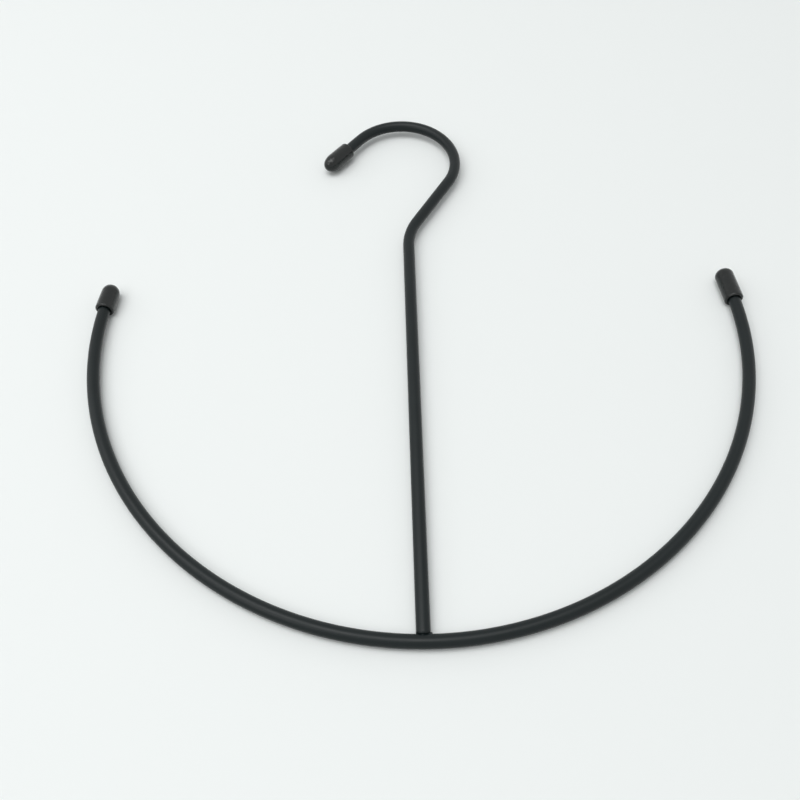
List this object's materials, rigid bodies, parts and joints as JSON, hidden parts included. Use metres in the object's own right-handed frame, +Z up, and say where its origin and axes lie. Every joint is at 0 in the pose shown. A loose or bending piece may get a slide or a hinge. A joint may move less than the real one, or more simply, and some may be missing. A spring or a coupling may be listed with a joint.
{
  "type": "hat rack",
  "caption": "Hanging wire hat rack: a C-shaped arc of round wire welded to a straight stem that kinks and turns over into a rail hook, with soft caps on the open ends.",
  "frame": {"origin": "the top of the hook's inside, where the rail bears", "axes": "+Z up as the rack hangs, along the straight stem; +X to the right seen from the front, away from the hook's open side; +Y to the back. The wires' centre lines lie in the XZ plane."},
  "size_m": [0.2195, 0.0062, 0.2112],
  "materials": {
    "wire_coating": "satin black powder coat on steel wire",
    "cap_vinyl": "smooth black dipped vinyl, soft sheen"
  },
  "bodies": {
    "root": {"hat_arc": "wire_coating", "hook_stem": "wire_coating", "stem_weld": "wire_coating", "left_arm_cap": "cap_vinyl", "right_arm_cap": "cap_vinyl", "hook_cap": "cap_vinyl"}
  },
  "joints": []
}
